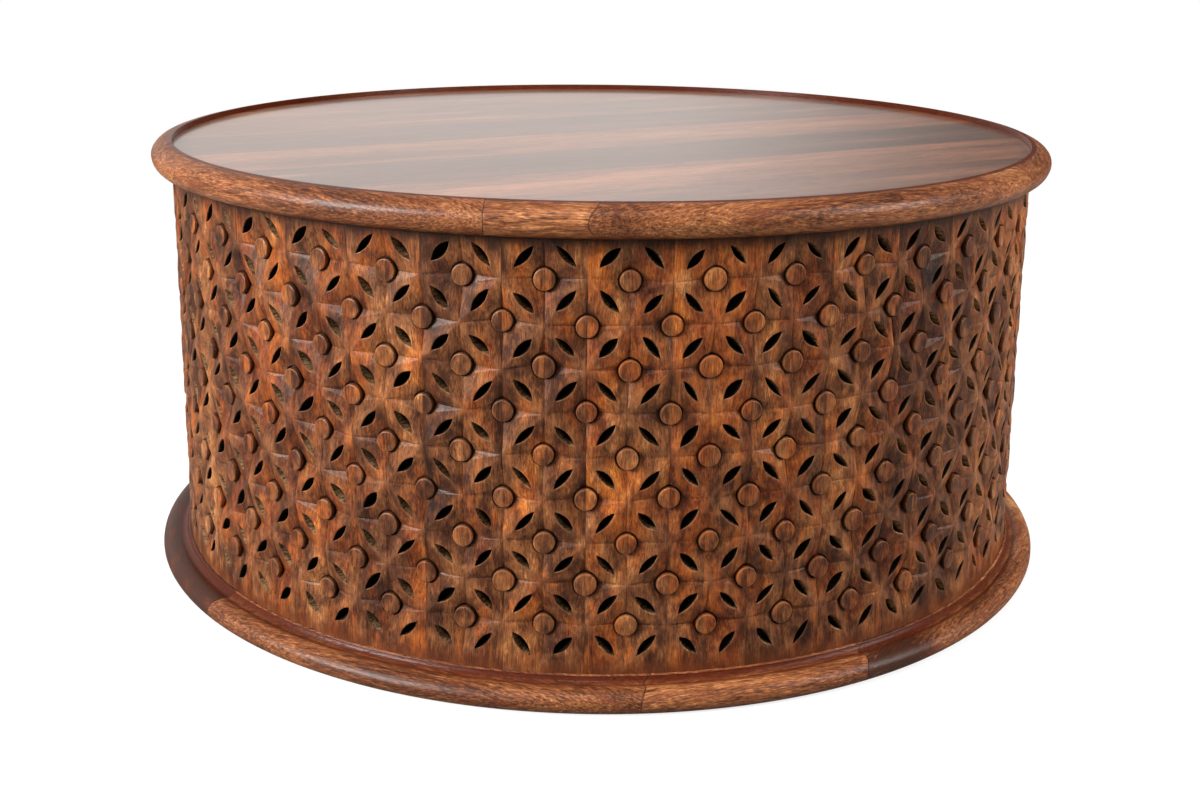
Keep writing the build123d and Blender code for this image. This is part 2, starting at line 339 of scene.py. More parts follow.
def carved_stave(stave):
    """All triangles of a stave, as rows of three points of across, up, radius and four marks."""
    columns = np.array([2 * stave - 1, 2 * stave, 2 * stave + 1]) % (2 * stave_count)
    crossings = crossing_shift[columns] + np.stack(
        np.broadcast_arrays(np.array([[-half_width], [0], [half_width]]), row_height), -1
    )
    lips = ridges(stave, crossings)
    middle = first_middle + stave * 2 * pi / stave_count

    def turn_at(across):
        """Angle from +X of a point on this stave."""
        return middle + across / drum_radius

    pieces = []
    odd, even = np.arange(1, carving_rows, 2), np.arange(2, carving_rows, 2)
    left, right, lower, upper = 0, 1, 0, 1

    # Whole diamonds on the middle line.
    around = np.stack([
        lips[right, odd - 1, upper], lips[right, odd, lower, ::-1],
        lips[left, odd, lower], lips[left, odd - 1, upper, ::-1],
    ], 1)
    _, ground, walls, back = sunk_diamonds(columns[1], odd, crossings[1, odd], around, turn_at)
    pieces += [ground, walls, tiles(back, inward=True)]

    # Half diamonds on the seams, with the side of the stave behind them.
    for side, around in (
        (right, (lips[right, even, lower, ::-1], lips[right, even - 1, upper])),
        (left, (lips[left, even - 1, upper, ::-1], lips[left, even, lower])),
    ):
        centres = crossings[2 * side, even]
        front, ground, walls, back = sunk_diamonds(
            columns[2 * side], even, centres, np.stack(around, 1), turn_at
        )
        pieces += [ground, walls, tiles(back[:, :, 1:-1], inward=True)]
        for seam, spoke, turned in ((0, 1, True), (-1, -2, False)):
            edge = front[:, :, seam]
            behind = edge.copy()
            behind[..., 2] = back_radius_at(behind[..., 0])
            behind[..., 3:] = back_marks
            fan = np.stack([np.broadcast_to(back[:, 1:, spoke], behind.shape), behind], 1)
            pieces += [tiles(fan, inward=True), tiles(np.stack([edge, behind], 1), inward=turned)]

    # Plain wood over and under the carving, and the sawn ends.
    share = np.linspace(0, 1, plain_lines)[:, None]
    for side in (left, right):
        for line, end, inward in (
            (lips[side, 0, lower], stave_foot, side == left),
            (lips[side, -1, upper], stave_head, side == right),
        ):
            flat = np.stack([np.broadcast_to(line[:, 0], (plain_lines, ridge_points)),
                             end + share * (line[:, 1] - end)], -1)
            marks = np.zeros((plain_lines, ridge_points, len(mark_names)))
            marks[-1, :, wear_and_highlight_mark] = ridge_wear
            in_slot = np.zeros(ridge_points)
            in_slot[tip_steps + 1:-tip_steps - 1] = 1
            depth = unevenness(turn_at(flat[..., 0]), flat[..., 1])
            depth[-1] += lip_wear * in_slot
            front = np.concatenate([flat, (drum_radius - depth)[..., None], marks], -1)
            wall = down_the_slot(front[-1], back_radius_at(line[:, 0]), straightened(line))
            open_squares = np.maximum(in_slot[1:], in_slot[:-1]).astype(bool)
            back = np.concatenate([front[:-1], wall[-1:]])
            back[..., 2] = back_radius_at(back[..., 0])
            back[..., 3:] = back_marks
            pieces += [tiles(front, inward=not inward), tiles(wall, open_squares, inward=not inward),
                       tiles(back, inward=inward)]
            pieces += [tiles(np.stack([front[0], back[0]]), inward=inward)]
            pieces += [tiles(np.stack([front[:, -1], back[:, -1]]), inward=not inward)]
    return np.concatenate(pieces), middle


def weld(triangles):
    """Points, each once, with their marks, and faces as point numbers; slivers of no area go.

    Points count as one where they agree to a micron. The key packs the three axes in 21 bits each."""
    corners = triangles.reshape(-1, triangles.shape[-1])
    micron = np.round((corners[:, :3] + 1) * 1e6).astype(np.int64)
    key = (micron[:, 0] << 42) + (micron[:, 1] << 21) + micron[:, 2]
    _, first, number = np.unique(key, return_index=True, return_inverse=True)
    faces = number.reshape(-1, 3)
    a, b, c = faces.T
    return corners[first], faces[(a != b) & (b != c) & (c != a)]


def make_piece(name, points, faces, marks, material, replaced, crease):
    """Blender object of a closed surface, riding on the table and standing for the CAD nodes. Edges
    that turn by more than the crease, in degrees, are sharp."""
    mesh = bpy.data.meshes.new(name)
    mesh.vertices.add(len(points))
    mesh.vertices.foreach_set("co", points.astype(np.float32).ravel())
    mesh.loops.add(faces.size)
    mesh.loops.foreach_set("vertex_index", faces.astype(np.int32).ravel())
    mesh.polygons.add(len(faces))
    mesh.polygons.foreach_set("loop_start", np.arange(0, faces.size, 3, dtype=np.int32))
    mesh.update(calc_edges=True)
    mesh.set_sharp_from_angle(angle=radians(crease))
    for mark, values in marks.items():
        kind, field = ("FLOAT_VECTOR", "vector") if values.ndim == 2 else ("FLOAT", "value")
        attribute = mesh.attributes.new(mark, kind, "POINT")
        attribute.data.foreach_set(field, values.astype(np.float32).ravel())
    mesh.materials.append(material)
    piece = bpy.data.objects.new(name, mesh)
    bpy.context.scene.collection.objects.link(piece)
    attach(piece, "root")
    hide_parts(*replaced)


class Socket:
    """An output of a shader node. Sums, products and the like of sockets and numbers add Math nodes."""

    def __init__(self, finish, output):
        self.finish, self.output = finish, output

    def math(self, operation, *values):
        return self.finish.node("ShaderNodeMath", {"operation": operation}, dict(enumerate(values)))

    def __add__(self, other):
        return self.math("ADD", self, other)

    def __sub__(self, other):
        return self.math("SUBTRACT", self, other)

    def __rsub__(self, other):
        return self.math("SUBTRACT", other, self)

    def __mul__(self, other):
        return self.math("MULTIPLY", self, other)

    __radd__, __rmul__ = __add__, __mul__


class Finish:
    """A material or a world in the making: its node tree, its shader, and the one way that nodes
    come into it."""

    def __init__(self, owner, shader="Principled BSDF", **constants):
        owner.use_nodes = True
        self.owner, self.tree = owner, owner.node_tree
        self.shader = self.tree.nodes[shader]
        self.fill(self.shader, constants)

    def fill(self, node, inputs):
        """Gives a node's sockets their links or values, by name or number."""
        for key, value in inputs.items():
            socket = node.inputs[key]
            if isinstance(value, Socket):
                self.tree.links.new(value.output, socket)
            else:
                socket.default_value = value

    def node(self, kind, settings, inputs, output=0):
        """Adds a node with its settings, then its inputs, and returns one of its outputs."""
        node = self.tree.nodes.new(kind)
        for key, value in settings.items():
            if key == "stops":
                for _ in value[2:]:  # a new ramp has two stops
                    node.color_ramp.elements.new(0.5)
                for element, (place, colour) in zip(node.color_ramp.elements, value):
                    element.position, element.color = place, colour
            elif key == "stepped":
                node.color_ramp.interpolation = "CONSTANT"
            else:
                setattr(node, key, value)
        self.fill(node, inputs)
        return Socket(self, node.outputs[output])

    def mark(self, name, output="Fac"):
        """A mark on the mesh: a number by default, or a place with output='Vector'."""
        return self.node("ShaderNodeAttribute", {"attribute_name": name}, {}, output)

    def noise(self, place, scales, detail, roughness=0.5, distortion=0.0):
        """Noise about 0.5, with roughly so many lumps to the metre along each axis."""
        scaled = self.node("ShaderNodeVectorMath", {"operation": "MULTIPLY"}, {0: place, 1: scales})
        return self.node("ShaderNodeTexNoise", {}, {
            "Vector": scaled, "Scale": 1, "Detail": detail, "Roughness": roughness,
            "Distortion": distortion,
        })

    def between(self, value, low, high):
        """Smooth rise from 0 at low to 1 at high, and level beyond them. Low may be the greater."""
        return self.node("ShaderNodeMapRange", {"interpolation_type": "SMOOTHSTEP"}, {
            "Value": value, "From Min": low, "From Max": high,
        })

    def ramp(self, value, stops, top):
        """Colour that goes with a value through stops of value and colour; top is the ramp's end."""
        places = tuple((place / top, colour) for place, colour in stops)
        return self.node("ShaderNodeValToRGB", {"stops": places}, {0: value * (1 / top)})

    def mix(self, share, under, over):
        """Under, with over blended in by a share. The node's colours go in at 6 and 7, out at 2."""
        return self.node("ShaderNodeMix", {"data_type": "RGBA"}, {0: share, 6: under, 7: over}, 2)

    def bump(self, height, distance):
        """Normal of a surface raised by height times distance."""
        return self.node("ShaderNodeBump", {}, {"Height": height, "Distance": distance})

    def end(self, **outputs):
        """Links what changes over the surface to the shader, and returns the material."""
        self.fill(self.shader, {key.replace("_", " "): value for key, value in outputs.items()})
        return self.owner


def stain(red, green, blue):
    """A colour as on a stain chart, 0 to 255, in linear light."""
    share = np.array([red, green, blue]) / 255
    return (*np.where(share <= 0.04045, share / 12.92, ((share + 0.055) / 1.055) ** 2.4), 1)


def wood_figure(finish, place):
    """Broad figure, growth lines, fine fibres and pores of a board, and its place bent as the grain is.
    The first axis runs along the grain."""
    broad = finish.noise(place, (3, 26, 26), 3, 0.55, 0.4)
    bent = finish.node("ShaderNodeVectorMath", {"operation": "MULTIPLY_ADD"}, {
        0: finish.noise(place, (7, 16, 16), 2), 1: (0, 0.034, 0.034), 2: place,
    })
    lines = finish.noise(bent, (16, 420, 420), 5, 0.8)
    fibres = finish.noise(place, (110, 1100, 1100), 2, 0.7)
    pores = finish.between(finish.noise(place, (60, 900, 900), 1), 0.60, 0.72)
    return broad, lines, fibres, pores, bent


def carved_wood():
    """Stained hardwood with a thin satin lacquer. Painted shade darkens the ground, the buttons' feet,
    their moats and the V-grooves, and painted shadow the band under the rim. The stain is thin on the
    rubbed ribs, and a painted highlight lightens the slots' lower lips. It is an even brown at the foot.
    The slots show dry sawn wood, darkened further in by painted shade."""
    finish = Finish(bpy.data.materials.new("carved_hardwood"),
                    **{"Specular IOR Level": 0.10, "Coat Roughness": 0.34})
    place = finish.mark("board", "Vector")
    tone = finish.mark("tone")
    redness = finish.mark("redness")
    sunk, worn, cut, crevice = (finish.mark(name) for name in mark_names)
    broad, lines, fibres, pores, bent = wood_figure(finish, place)
    blotch = finish.noise(place, (50, 75, 75), 4, 0.62)
    patch = finish.noise(place, (16, 34, 34), 4, 0.62)
    warm = finish.between(patch + redness * 0.10 + 0.1 * lines, 0.56, 0.76)
    cloud = finish.noise(place, (8, 20, 20), 2)
    shade = broad * 0.4 + cloud * 0.5 + lines * 0.5 + fibres * 0.5 + blotch + tone * 0.2
    brown = finish.ramp(shade, ((1.28, stain(30, 16, 10)), (1.48, stain(74, 42, 26)),
                                (1.72, stain(130, 82, 47)), (1.95, stain(204, 144, 88))), 2.2)
    orange = finish.ramp(shade, ((1.28, stain(40, 17, 9)), (1.48, stain(98, 46, 21)),
                                 (1.72, stain(156, 83, 34)), (1.95, stain(212, 136, 60))), 2.2)
    colour = finish.mix(warm, brown, orange)
    sap = finish.between(finish.noise(place, (5, 95, 95), 2), 0.62, 0.70)
    colour = finish.mix(sap * 0.25, colour, stain(190, 112, 52))
    heart = finish.between(finish.noise(place, (13, 70, 60), 3, 0.6), 0.58, 0.70)
    colour = finish.mix(heart * 0.5, colour, stain(44, 26, 18))
    threads = finish.between(finish.noise(bent, (22, 560, 560), 3, 0.6), 0.50, 0.60)
    colour = finish.mix(threads * 0.36, colour, stain(48, 24, 13))
    colour = finish.mix(pores * 0.4, colour, stain(44, 24, 16))
    # Painted shade: the deeper the ground, the darker it is painted.
    ground_shade = finish.between(sunk * 0.7 + blotch, 0.6, 1.4)
    colour = finish.mix(ground_shade * 0.48, colour, stain(60, 30, 17))
    # Wear lightens the ribs and the buttons' edges; the same mark paints a highlight on the slots' lower
    # lips.
    rubbed = finish.between(worn * 0.9 + blotch * 0.9, 0.65, 1.35)
    colour = finish.mix(rubbed * 0.2, colour, stain(136, 90, 62))
    chipped_and_lit = finish.between(worn + 0.5 * blotch, 1.3, 1.9)
    colour = finish.mix(chipped_and_lit * 0.45, colour, stain(176, 132, 90))
    # Painted shade round the buttons' feet, in their moats and in the V-grooves.
    ring = finish.between(crevice + blotch * 0.7, 0.6, 1.3)
    colour = finish.mix(ring * 0.93, colour, stain(22, 11, 7))
    height = finish.node("ShaderNodeSeparateXYZ", {}, {
        "Vector": finish.node("ShaderNodeTexCoord", {}, {}, "Object"),
    }, 2)
    # Painted shadow of the rim on the top of the drum.
    rim_shadow = finish.between(height + 0.006 * blotch, stave_head - 0.020, stave_head + 0.002)
    colour = finish.mix(rim_shadow * 0.9, colour, stain(28, 14, 8))
    at_foot = finish.between(height - 0.006 * blotch, stave_foot + 0.018, stave_foot + 0.002)
    colour = finish.mix(at_foot * 0.6, colour, stain(92, 48, 28))
    saw = finish.noise(place, (700, 120, 160), 3, 0.6)
    sawn = finish.mix(finish.between(saw, 0.35, 0.65), stain(74, 54, 38), stain(150, 120, 86))
    # Painted shade: the slot walls darken with depth to near black, and the staves' backs take half of
    # it.
    sawn = finish.mix(finish.between(sunk, 0.5, 1.5) * 0.98, sawn, stain(9, 6, 4))
    colour = finish.mix(finish.between(cut, 0.1, 0.9), colour, sawn)
    relief = fibres * 0.5 + lines * 0.9 - pores * 0.8 + cut * saw * 2
    return finish.end(
        Base_Color=colour, Roughness=0.26 + 0.24 * blotch + 0.3 * cut, Coat_Weight=0.13 * (1 - cut),
        Normal=finish.bump(relief, 0.0004),
    )


stave_finish = carved_wood()
sawyer = np.random.default_rng(7)
stave_tone = sawyer.uniform(0.3, 0.75, stave_count)
stave_redness = sawyer.uniform(0, 1, stave_count)
dark_staves, red_staves = [5, 13, 20, 31], [2, 17, 36]  # by number, round the drum
stave_tone[dark_staves] = 0.1
stave_redness[dark_staves] = 0.4
stave_redness[red_staves] = 1.3
for stave, name in enumerate(stave_names):
    triangles, middle = carved_stave(stave)
    points, faces = weld(triangles)
    across, up, radius = points[:, 0], points[:, 1], points[:, 2]
    turn = middle + across / drum_radius
    place = np.stack([radius * np.cos(turn), radius * np.sin(turn), up], -1)
    # Grain runs along the first axis, and every board comes from another place of the tree.
    board = np.stack([up + 1.7 * stave, across, radius - drum_radius + 0.31 * stave], -1)
    marks = {"board": board, "tone": np.full(len(points), stave_tone[stave]),
             "redness": np.full(len(points), stave_redness[stave])}
    marks.update(zip(mark_names, points[:, 3:].T))
    make_piece(name.replace("stave", "carved_stave"), place, faces, marks, stave_finish,
               [name], crease=9)

# ---- Base ring and rim ----
# Seven lengths of the same hardwood in each ring, bandsawn to the curve, moulded and sanded, and
# glued end to end: six long ones and a short closing piece. The base ring has a bead against the
# drum, a cove and a big roll; the rim is a bullnose with a sharp inner edge. Satin lacquer.
base_nodes = sorted(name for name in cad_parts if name.startswith("base_segment_"))
rim_nodes = sorted(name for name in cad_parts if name.startswith("rim_segment_"))
collar = drum_radius + 0.0002  # where both rings meet the outside of the drum


def arc_of(centre, reach, rise, start, end, steps):
    """Points of an ellipse's arc between two angles in degrees, as radius and height."""
    turn = np.radians(np.linspace(start, end, steps + 1))
    return np.stack([centre[0] + reach * np.cos(turn), centre[1] + rise * np.sin(turn)], -1)


def ring_limits(nodes):
    """Inner and outer radius, and lowest and highest point, of a ring's segments."""
    rows = np.concatenate([corners_of(node) for node in nodes])
    radius = np.hypot(rows[:, 0], rows[:, 1])
    return radius.min(), radius.max(), rows[:, 2].min(), rows[:, 2].max()


def base_profile():
    """Outline of the base ring, from the foot of the roll over the cove and the bead to the inside,
    with the dirt and painted shade on each of its points and its hub, the place in the wood that its
    caps fan from."""
    inner, outer, floor, top = ring_limits(base_nodes)
    roll_reach, roll_rise, roll_drop = 0.014, 0.011, 0.0015
    roll_start, roll_end = np.degrees(np.arcsin((roll_drop - roll_rise) / roll_rise)), 112
    roll = arc_of(
        (outer - roll_reach, roll_rise - roll_drop), roll_reach, roll_rise, roll_start, roll_end, 26
    )
    bead_width, bead_round = 0.0022, 0.0010
    bead = arc_of((collar, top - bead_round), bead_width, bead_round, 0, 90, 6)
    cove_depth = 0.0014
    share = np.linspace(0, 1, 8)[1:-1, None]
    chord = bead[0] - roll[-1]
    hollow = np.array([-chord[1], chord[0]]) / np.linalg.norm(chord) * cove_depth
    cove = roll[-1] + share * chord + 4 * share * (1 - share) * hollow
    inside = np.array([(collar, stave_foot), (inner, stave_foot), (inner, floor)])
    outline = np.concatenate([roll, cove, bead, inside])
    # Dirt and painted shade: darker towards the cove under the bead, and inside.
    grime = np.zeros(len(outline))
    grime[len(roll) - 5:len(roll)] = (0.1, 0.25, 0.4, 0.6, 0.7)  # it grows towards the cove,
    grime[len(roll):len(roll) + len(cove) + 2] = np.linspace(0.5, 1.2, len(cove) + 2)
    grime[-3:] = 1  # and the inside is as dark
    hub = np.array([0.445, 0.010])
    return outline, grime, hub


def rim_profile():
    """Outline of the rim, from the inside round under the bullnose and over it to its inner edge,
    with the dirt and painted shade on each of its points and its hub."""
    inner, outer, underside, top = ring_limits(rim_nodes)
    skirt = collar + 0.0045  # where the flat underside ends
    middle = (underside + top) / 2
    half = (top - underside) / 2
    worn_edge = 0.0006
    crown = arc_of((inner, middle), outer - inner, half, 88.4, 0, 26)
    under = arc_of((skirt, middle), outer - skirt, half, 0, -90, 16)[1:]
    inside = np.array([(collar, underside), (collar, stave_head), (inner, stave_head),
                       (inner, top - worn_edge)])
    outline = np.concatenate([crown, under, inside])[::-1]
    # Darker at the inner edge from dirt and painted shade, and under the bullnose from painted shade.
    grime = np.interp(outline[:, 0], (inner, inner + 0.003, inner + 0.007, outer), (1.4, 1.1, 0, 0))
    grime = np.where(outline[:, 1] < middle, np.interp(outline[:, 0], (skirt, outer), (1, 0)), grime)
    hub = np.array([0.441, middle])
    return outline, grime, hub


ring_step = radians(1.2)
joint_width, joint_depth = 0.0007, 0.0002
ring_planing = 0.6  # times as deep as the drum's waves,
ring_rise = 3  # and so many times as close to one another upwards


def ring_segment(profile, grime, hub, sweep, bows, lens):
    """Triangles of one length of a ring: the outline carried along its arc, with a cap at each end.

    An end isn't cut quite square: its angle runs with the place on the outline by the bow, which goes
    as a parabola over the height (lens) or as its fourth power, and both neighbours have the same
    bow. Steps are short near the ends."""
    start, end = sweep
    closed = np.concatenate([profile, profile[:1]])
    low, high = profile[:, 1].min(), profile[:, 1].max()
    over = (closed[:, 1] - low) / (high - low)
    bulge = 4 * over * (1 - over) if lens else over**4
    starts, ends = start + bows[0] * bulge, end + bows[1] * bulge
    steps = max(4, int((end - start) / ring_step))
    share = np.linspace(0, 1, steps + 1)
    joint = joint_width / drum_radius / (end - start)
    share = np.concatenate([[0, joint, 3 * joint], share[1:-1], [1 - 3 * joint, 1 - joint, 1]])[:, None]
    turn = starts + share * (ends - starts)
    at_joint = np.zeros_like(turn)
    at_joint[[0, -1]] = 1
    wave = unevenness(turn, np.broadcast_to(closed[:, 1] * ring_rise, turn.shape))
    outwards = closed - hub
    outwards /= np.linalg.norm(outwards, axis=-1, keepdims=True)
    outside = closed[:, 0] > drum_radius + 0.002
    sunk = ring_planing * wave * outside + joint_depth * at_joint
    radius = closed[:, 0] - sunk * outwards[:, 0]
    height = closed[:, 1] - sunk * np.clip(outwards[:, 1], 0, 1)
    height = np.broadcast_to(height, radius.shape)
    grime = np.broadcast_to(np.append(grime, grime[0]), radius.shape)
    grid = np.stack([turn, height, radius, at_joint, grime], -1)
    caps = []
    for row, turned in ((grid[0], True), (grid[-1], False)):
        centre = row.copy()
        centre[:, 0] = row[:, 0].mean()
        centre[:, 1:3] = hub[::-1]
        caps.append(tiles(np.stack([centre, row]), inward=turned))
    return np.concatenate([tiles(grid), *caps])


def moulding_wood():
    """Stained hardwood under a satin lacquer, darker and redder in the hollows, under the bullnose and
    inside from dirt and painted shade, with dark pores and a thin dark line at each joint."""
    finish = Finish(bpy.data.materials.new("moulding_hardwood"),
                    **{"Specular IOR Level": 0.12, "Coat Roughness": 0.38})
    place = finish.mark("board", "Vector")
    tone = finish.mark("tone")
    joint = finish.mark("joint")
    grime = finish.mark("grime")
    broad, lines, fibres, pores, bent = wood_figure(finish, place)
    blotch = finish.noise(place, (22, 60, 60), 4, 0.6)
    flecks = finish.noise(place, (160, 700, 700), 2, 0.7)
    shade = lines + broad * 0.7 + tone * 0.5 + fibres * 0.6 + flecks * 0.6
    colour = finish.ramp(shade, ((1.38, stain(52, 26, 15)), (1.58, stain(112, 64, 36)),
                                 (1.79, stain(158, 102, 62)), (2.04, stain(214, 164, 110))), 2.5)
    colour = finish.mix(finish.between(blotch, 0.50, 0.72) * 0.6, colour, stain(92, 40, 20))
    heart = finish.between(finish.noise(place, (14, 150, 150), 4, 0.7), 0.56, 0.70)
    colour = finish.mix(heart * 0.7, colour, stain(50, 25, 14))
    threads = finish.between(finish.noise(bent, (60, 800, 800), 3, 0.6), 0.50, 0.60)
    colour = finish.mix(threads * 0.4, colour, stain(60, 31, 17))
    # Dirt and painted shade, darker and redder, in the cove, at the rim's inner edge, under the bullnose
    # and inside.
    soiled_and_shaded = finish.between(grime + blotch * 0.4, 0.3, 1.1)
    colour = finish.mix(soiled_and_shaded * 0.9, colour, stain(68, 22, 7))
    colour = finish.mix(pores * 0.75, colour, stain(40, 20, 12))
    colour = finish.mix(finish.between(joint, 0.1, 0.7) * 0.75, colour, stain(30, 14, 8))
    relief = fibres * 0.4 + lines * 0.6 + flecks * 0.5 - pores * 0.8
    return finish.end(Base_Color=colour, Roughness=0.40 + 0.2 * blotch - 0.2 * soiled_and_shaded,
                      Coat_Weight=(0.2 + 0.16 * fibres) * (1 - 0.9 * soiled_and_shaded),
                      Normal=finish.bump(relief, 0.0002))


moulding_finish = moulding_wood()
base_bow = (0.011, 0.016, -0.004, 0.006, -0.008, 0.003, 0.007)  # of the start of each length
rim_bow = (0.002, -0.009, 0.004, -0.005, 0.007, -0.003, 0.005)
base_tone = (0.22, 0.3, 0.45, 0.2, 0.5, -0.8, 0.2)  # dark to light
rim_tone = (0.34, 0.36, 0.25, 0.1, 0.35, 0.2, 0.28)
for nodes, (profile, grime, hub), bows, lens, tones, slot in (
    (base_nodes, base_profile(), base_bow, False, base_tone, "base_wood"),
    (rim_nodes, rim_profile(), rim_bow, True, rim_tone, "rim_wood"),
):
    for number, node in enumerate(nodes):
        start, end = sweep_of(node)
        ends = bows[number] / drum_radius, bows[(number + 1) % len(nodes)] / drum_radius
        triangles = ring_segment(profile, grime, hub, (start, end), ends, lens)
        turn, height, radius = triangles[..., 0], triangles[..., 1], triangles[..., 2]
        triangles = np.stack([radius * np.cos(turn), radius * np.sin(turn), height,
                              radius, turn, triangles[..., 3], triangles[..., 4]], -1)
        points, faces = weld(triangles)
        reach, from_middle = points[:, 3], points[:, 4] - (start + end) / 2
        board = np.stack([reach * np.sin(from_middle) + 2.3 * number,
                          reach * np.cos(from_middle) + number, points[:, 2]], -1)
        tone = np.full(len(points), tones[number])
        if node == base_nodes[1]:  # its first bit is dark
            tone = np.interp(points[:, 4] - start, (0, 0.12, 0.20), (-0.25, -0.25, tones[number]))
        marks = {"board": board, "joint": points[:, 5], "grime": points[:, 6], "tone": tone}
        make_piece(f"moulded_{node}", points[:, :3], faces, marks, moulding_finish, [node],
                   crease=28)

# ---- Planks ----
# Eight wide planks glued edge to edge into a round panel, sunk inside the rim, planed flat and
# finished with a semi-gloss lacquer. Their tones differ clearly from plank to plank.
plank_turn = radians(28.5)
plank_width = 0.114
plank_joint = 0.017  # the joint nearest the middle, across the grain
plank_count = 8


def plank_wood():
    """Lacquered planks: the number of each, counted from the joint nearest the middle, gives it its
    own tone and its own stretch of grain."""
    finish = Finish(bpy.data.materials.new("plank_hardwood"),
                    **{"Specular IOR Level": 0.5, "Coat Roughness": 0.12})
    place = finish.node("ShaderNodeTexCoord", {}, {}, "Object")
    turned = finish.node("ShaderNodeMapping", {"vector_type": "TEXTURE"}, {
        "Vector": place, "Rotation": (0, 0, plank_turn),
    })
    across = finish.node("ShaderNodeSeparateXYZ", {}, {"Vector": turned}, 1)
    planks_across = (across - plank_joint) * (1 / plank_width)
    plank = planks_across.math("FLOOR", planks_across)
    own = finish.node("ShaderNodeVectorMath", {"operation": "MULTIPLY_ADD"}, {
        0: finish.node("ShaderNodeCombineXYZ", {}, {0: plank, 1: plank, 2: plank}),
        1: (3.1, 0.7, 1.9), 2: turned,
    })
    broad, lines, fibres, pores, bent = wood_figure(finish, own)
    light, middle, dark = stain(148, 103, 76), stain(134, 91, 66), stain(101, 70, 54)
    pink, shady = stain(160, 104, 72), stain(116, 80, 60)
    tones = (middle, pink, dark, pink, shady, middle, light, middle)
    steps = tuple((number / plank_count, tone) for number, tone in enumerate(tones))
    tone = finish.node("ShaderNodeValToRGB", {"stops": steps, "stepped": True}, {
        0: (plank + (plank_count + 1) / 2) * (1 / plank_count),
    })
    cloud = finish.noise(own, (3, 18, 18), 4, 0.6)
    shade = finish.between(lines + broad * 0.5 + cloud * 0.7, 0.75, 1.40)
    colour = finish.mix(shade, stain(74, 43, 30), tone)
    colour = finish.mix(finish.between(cloud, 0.55, 0.8) * 0.5, colour, stain(196, 128, 88))
    threads = finish.between(finish.noise(bent, (12, 420, 420), 3, 0.6), 0.50, 0.62)
    colour = finish.mix(threads * 0.3, colour, stain(62, 34, 22))
    colour = finish.mix(pores * 0.5, colour, stain(50, 28, 18))
    from_middle = planks_across - plank - 0.5
    line = finish.between(from_middle.math("ABSOLUTE", from_middle), 0.494, 0.499)
    colour = finish.mix(line * 0.5, colour, stain(40, 20, 14))
    relief = fibres * 0.3 + lines * 0.4 - pores * 0.6
    return finish.end(Base_Color=colour, Roughness=0.30 + 0.12 * broad, Coat_Weight=0.8 + 0.1 * broad,
                      Normal=finish.bump(relief, 0.00008))


def dress(node, material):
    """Gives a CAD node's own mesh a material."""
    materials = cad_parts[node].data.materials
    materials.clear()
    materials.append(material)


dress("top_planks", plank_wood())

# ---- Glue blocks, battens and screws ----
# Plain unfinished hardwood blocks and battens under the top and on the base ring, out of sight, each
# held by a zinc-plated countersunk screw.


def block_wood():
    """Dry planed hardwood with faint growth lines, never stained."""
    finish = Finish(bpy.data.materials.new("block_hardwood"), **{"Specular IOR Level": 0.3})
    place = finish.node("ShaderNodeTexCoord", {}, {}, "Object")
    broad, lines, fibres, pores, _ = wood_figure(finish, place)
    growth = finish.between(lines + broad * 0.6, 0.5, 1.1)
    colour = finish.mix(growth, stain(148, 112, 76), stain(190, 152, 108))
    colour = finish.mix(pores * 0.4, colour, stain(110, 78, 50))
    return finish.end(Base_Color=colour, Roughness=0.62 + 0.15 * fibres,
                      Normal=finish.bump(fibres - pores, 0.0002))


def zinc_steel():
    """Bright zinc plate with the faint cloudiness of a tumbled screw."""
    finish = Finish(bpy.data.materials.new("zinc_steel"))
    place = finish.node("ShaderNodeTexCoord", {}, {}, "Object")
    cloud = finish.noise(place, (900, 900, 900), 3)
    colour = finish.mix(cloud, stain(170, 168, 158), stain(214, 212, 204))
    return finish.end(Base_Color=colour, Metallic=1.0 - 0.05 * cloud, Roughness=0.28 + 0.2 * cloud)


block_finish = block_wood()
for node in ("head_blocks", "foot_blocks", "battens"):
    dress(node, block_finish)
dress("screws", zinc_steel())

# ---- Studio ----
# A pale floor, a white room, a big soft lamp to the upper left of the front, weaker ones to the
# right, in front, overhead and behind, and the camera a little above the table's top.
warm_white = (1, 0.955, 0.92)


def studio_floor():
    """Matt paper floor. The camera sees it nearly white, and a little darker close to the table; it
    throws light back as a pale grey. Under the drum it is dark, as no light gets there."""
    reach = 30.0
    mesh = bpy.data.meshes.new("studio_floor")
    mesh.from_pydata([(-reach, -reach, 0), (reach, -reach, 0), (reach, reach, 0), (-reach, reach, 0)],
                     [], [(0, 1, 2, 3)])
    finish = Finish(bpy.data.materials.new("studio_paper"), Roughness=0.9, **{"Specular IOR Level": 0.0})
    place = finish.node("ShaderNodeTexCoord", {}, {}, "Object")
    away = finish.node("ShaderNodeVectorMath", {"operation": "LENGTH"}, {0: place}, "Value")
    outside = finish.between(away, drum_radius * 0.97, drum_radius * 0.99)
    clear = 0.75 + 0.25 * finish.between(away, 0.9, 2.4)
    seen = finish.node("ShaderNodeLightPath", {}, {}, "Is Camera Ray")
    paper = finish.mix(seen, stain(140, 138, 134), stain(246, 246, 246))
    finish.fill(finish.shader, {"Base Color": finish.mix(outside, stain(20, 14, 10), paper)})
    glow = finish.node("ShaderNodeEmission", {}, {"Color": (1, 1, 1, 1), "Strength": 1.0}, "Emission")
    blend = finish.node("ShaderNodeMixShader", {}, {
        0: seen * outside * clear, 1: Socket(finish, finish.shader.outputs[0]), 2: glow,
    }, "Shader")
    finish.tree.links.new(blend.output, finish.tree.nodes["Material Output"].inputs["Surface"])
    mesh.materials.append(finish.owner)
    floor = bpy.data.objects.new("studio_floor", mesh)
    bpy.context.scene.collection.objects.link(floor)


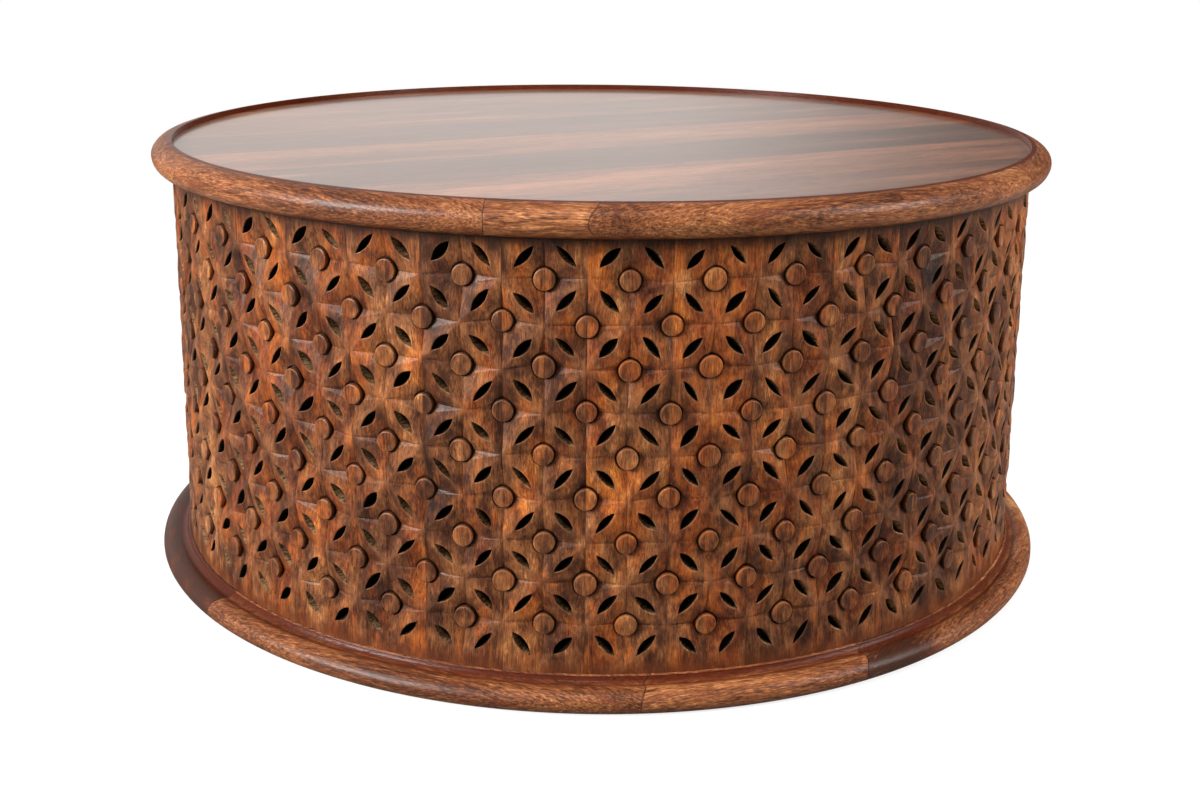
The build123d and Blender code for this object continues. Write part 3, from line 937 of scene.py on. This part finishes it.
def white_room():
    """World light. Matt surfaces get it weakly from the front, where most lamps are, and more strongly
    from behind. The camera sees white. A gloss sees it bright behind the table, weaker on the left
    and dark on the right."""
    world = bpy.data.worlds.new("white_room")
    bpy.context.scene.world = world
    room = Finish(world, "Background", Color=(*warm_white, 1))
    way = room.node("ShaderNodeTexCoord", {}, {}, "Generated")
    right, back = (room.node("ShaderNodeSeparateXYZ", {}, {"Vector": way}, axis) for axis in (0, 1))
    dim = room.between(right, 0.02, 0.27) * 0.84
    left = room.between(right, -0.30, -0.75) * 0.44
    gloss = (1 - dim) * (0.05 + left + 0.75 * room.between(back, 0.3, 1.02))
    camera_ray = room.node("ShaderNodeLightPath", {}, {}, "Is Camera Ray")
    glossy_ray = room.node("ShaderNodeLightPath", {}, {}, "Is Glossy Ray")
    matt = 0.14 + 0.66 * room.between(back, -0.05, 0.6)
    white = 1.09  # as bright as it takes for the colour's weakest part to be full
    room.end(Strength=matt + camera_ray * (white - matt) + glossy_ray * (gloss - matt))


def soft_lamp(name, place, aim, size, power, mirrored=True):
    """Softbox at a place, as wide and high as its size says, turned towards an aim, with a power in
    watts. With mirrored off, a gloss doesn't show it."""
    lamp = bpy.data.lights.new(name, "AREA")
    lamp.shape, lamp.energy = "RECTANGLE", power
    lamp.size, lamp.size_y = size
    lamp.color = warm_white
    lamp_object = bpy.data.objects.new(name, lamp)
    bpy.context.scene.collection.objects.link(lamp_object)
    away = np.array(place) - np.array(aim)
    lamp_object.rotation_euler = (pi / 2 - atan2(away[2], np.hypot(away[0], away[1])), 0,
                                  atan2(away[0], -away[1]))
    lamp_object.location = place
    lamp_object.visible_glossy = mirrored


studio_floor()
white_room()
soft_lamp("lamp_left", (-2.2, -1.5, 1.35), (0, 0, 0.25), (1.2, 1.0), 164)
soft_lamp("lamp_front", (-0.35, -2.45, 1.35), (0, 0, 0.25), (0.7, 0.5), 3)
soft_lamp("lamp_right", (2.35, -0.4, 1.2), (0, 0, 0.3), (1.2, 1.1), 40, False)
soft_lamp("lamp_narrow", (2.2, -0.9, 1.2), (0, 0, 0.3), (0.62, 1.1), 39)
soft_lamp("lamp_high", (1.75, -1.0, 2.1), (0, 0, 0.4), (0.9, 0.6), 10)
soft_lamp("lamp_over", (-0.12, -0.95, 2.4), (-0.1, -0.3, 0.4), (0.34, 0.26), 13)
soft_lamp("lamp_back", (0.9, 2.5, 1.5), (0, 0, 0.25), (1.3, 1.0), 52, False)

lens_pixels = 1551.2  # focal length in pixels of a frame 1200 wide and 800 high
frame_width, frame_height = 1200, 800
axis_row = 290  # row of the frame that the lens points at
camera_place = (0, -1.6266, 0.6399)
camera_dip, camera_roll = 13.43, 0.58  # below the horizon and to one side, in degrees
camera = bpy.data.cameras.new("camera")
camera.sensor_width = 36
camera.lens = camera.sensor_width * lens_pixels / frame_width
camera.shift_y = (axis_row - frame_height / 2) / frame_width
camera_object = bpy.data.objects.new("camera", camera)
bpy.context.scene.collection.objects.link(camera_object)
camera_object.matrix_world = (
    Matrix.Translation(camera_place)
    @ Matrix.Rotation(radians(90 - camera_dip), 4, "X")
    @ Matrix.Rotation(radians(camera_roll), 4, "Z")
)
bpy.context.scene.camera = camera_object
bpy.context.scene.view_settings.view_transform = "Standard"
